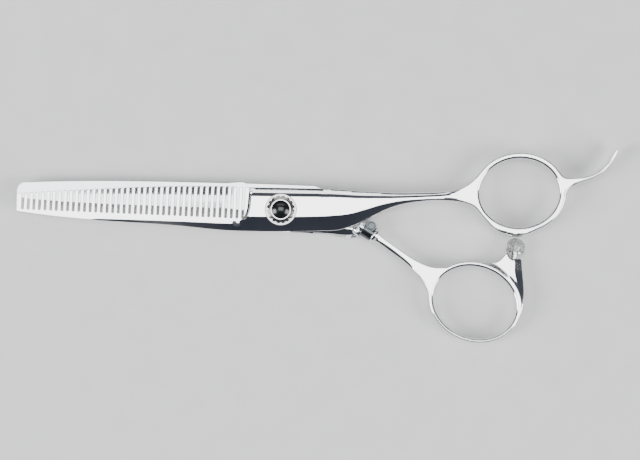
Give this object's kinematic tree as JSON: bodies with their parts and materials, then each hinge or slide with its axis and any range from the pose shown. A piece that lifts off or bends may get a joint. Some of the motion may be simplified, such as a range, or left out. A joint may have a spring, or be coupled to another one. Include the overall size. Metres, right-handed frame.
{
  "type": "hair thinning shears",
  "caption": "Offset thinning shears: comb-toothed blade over a plain blade, dial-tensioned pivot, swivelling thumb ring, finger rest and soft bumper.",
  "frame": {"origin": "on the pivot axis, at the flat underside of the pivot bolt, which is the rest face; the two blades meet 3.6 mm above it", "axes": "+X from the pivot towards the finger rings, +Y towards the finger-rest side in the closed rest pose, +Z along the pivot axis out of the tension dial"},
  "size_m": [0.1683, 0.0549, 0.0093],
  "materials": {
    "polished_steel": "mirror polished stainless steel",
    "machined_steel": "turned",
    "spring_steel": "tempered",
    "chrome_trim": "polished",
    "dark_steel": "polished",
    "bronze": "sintered",
    "slide_plastic": "matt",
    "black_gloss": "gloss",
    "silicone": "soft, translucent"
  },
  "bodies": {
    "finger_half": {"toothed_blade": "polished_steel", "pivot_bush": "bronze", "seat_ring": "polished_steel", "disc_spring": "spring_steel"},
    "blade_half": {"plain_blade": "polished_steel", "thrust_washer": "slide_plastic", "pivot_bolt": "machined_steel", "keyed_washer": "machined_steel", "lock_screw": "machined_steel", "swivel_barrel": "dark_steel", "swivel_bush": "bronze", "swivel_spring": "spring_steel", "keeper_screw": "machined_steel"},
    "dial": {"tension_dial": "chrome_trim", "cap_bezel": "chrome_trim", "dial_cap": "black_gloss"},
    "thumb": {"thumb_handle": "polished_steel", "bumper_seat": "chrome_trim", "bumper_screw": "machined_steel", "bumper": "silicone"}
  },
  "joints": [
    {"name": "blade_pivot", "type": "hinge", "parent": "finger_half", "child": "blade_half", "pos_m": [0, 0, 0.0036], "axis": [0, 0, -1], "range_deg": [0, 60]},
    {"name": "dial_turn", "type": "hinge", "parent": "blade_half", "child": "dial", "pos_m": [0, 0, 0.0071], "axis": [0, 0, 1], "range_deg": [-90, 90]},
    {"name": "thumb_swivel", "type": "hinge", "parent": "blade_half", "child": "thumb", "pos_m": [0.0262, -0.0072, 0.0025], "axis": [0.8406, -0.5417, 0], "range_deg": [-180, 180]}
  ]
}
